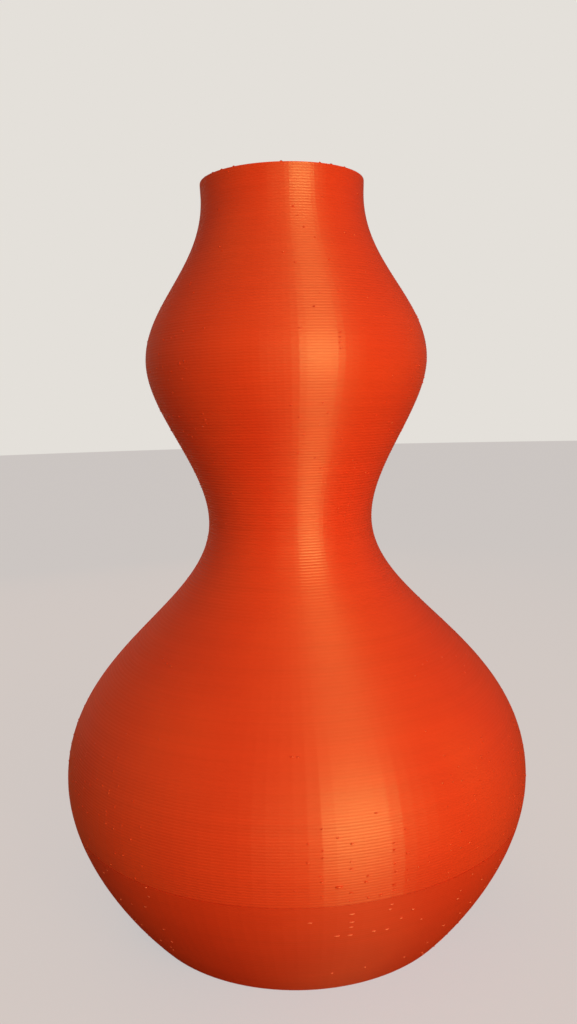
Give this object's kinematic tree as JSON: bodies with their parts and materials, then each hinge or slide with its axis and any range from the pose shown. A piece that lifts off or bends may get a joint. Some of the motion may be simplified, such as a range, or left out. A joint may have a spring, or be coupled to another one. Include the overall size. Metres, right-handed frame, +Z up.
{
  "type": "double gourd vase",
  "caption": "Double gourd vase: a round belly, a narrow waist, a smaller upper bulb and a short open neck, thin-walled on a flat solid base.",
  "frame": {"origin": "middle of the underside", "axes": "+Z up the vase's axis, out of its mouth; the vase is round, so +X and +Y are free"},
  "size_m": [0.1206, 0.1206, 0.189],
  "materials": {
    "silky_plastic": "satin, with fine level print lines that draw the light out into an upright streak",
    "dull_plastic": "the same plastic printed duller, with level print lines"
  },
  "bodies": {
    "root": {"base_disc": "dull_plastic", "foot_wall": "dull_plastic", "belly_wall": "silky_plastic", "shoulder_wall": "silky_plastic", "lower_waist_wall": "silky_plastic", "upper_waist_wall": "silky_plastic", "lower_bulb_wall": "silky_plastic", "upper_bulb_wall": "silky_plastic", "neck_wall": "silky_plastic", "rim_band": "silky_plastic"}
  },
  "joints": []
}
